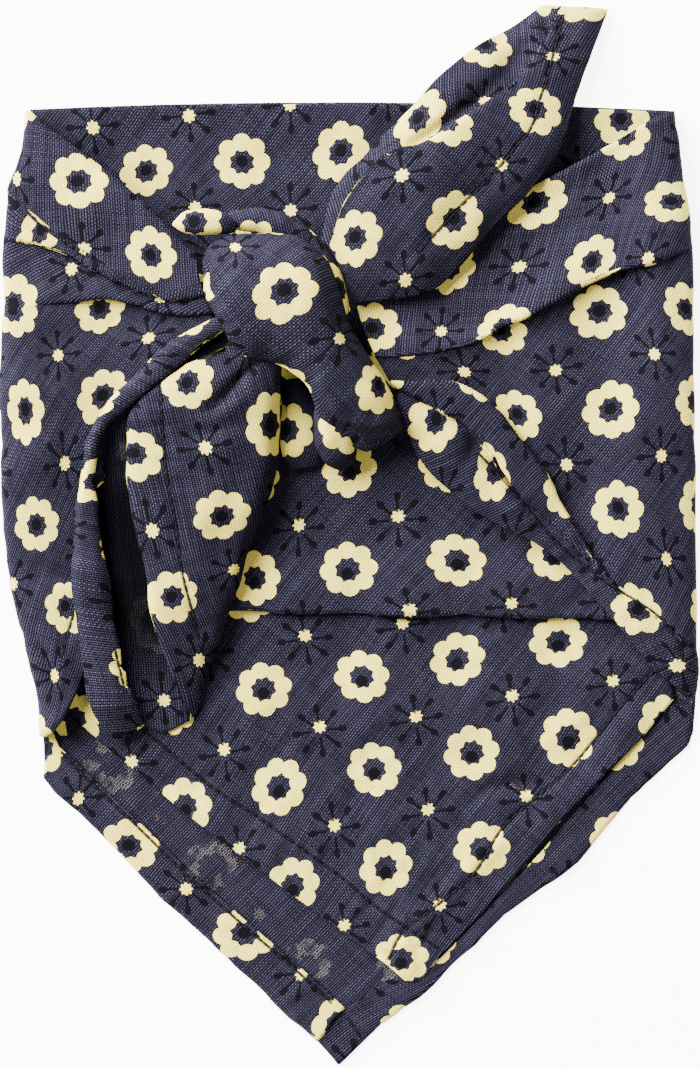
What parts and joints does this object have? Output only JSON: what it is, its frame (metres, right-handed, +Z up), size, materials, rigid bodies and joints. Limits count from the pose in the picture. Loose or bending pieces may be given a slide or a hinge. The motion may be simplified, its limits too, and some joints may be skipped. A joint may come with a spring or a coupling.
{
  "type": "dog bandana",
  "caption": "Printed cotton dog bandana, folded into a triangle, tied in front and laid down flat with the knot on top.",
  "frame": {"origin": "on the table, under the middle of the outline of the bandana as it lies", "axes": "+Z up from the table, +Y from the point of the triangle towards the long fold, +X to the right seen from above"},
  "size_m": [0.2334, 0.3553, 0.0351],
  "materials": {
    "printed_cloth": "matt plain weave, navy with cream flowers",
    "wrong_side": "matt plain weave, unprinted side, darker navy"
  },
  "bodies": {
    "root": {"outer_panel": "wrong_side", "outer_hem_left": "printed_cloth", "outer_hem_right": "printed_cloth", "inner_panel": "printed_cloth", "front_left": "printed_cloth", "front_right": "printed_cloth", "tail_left": "printed_cloth", "tail_right": "printed_cloth", "knot": "printed_cloth", "knot_back": "printed_cloth", "knot_under": "printed_cloth", "knot_tuck": "printed_cloth"}
  },
  "joints": []
}
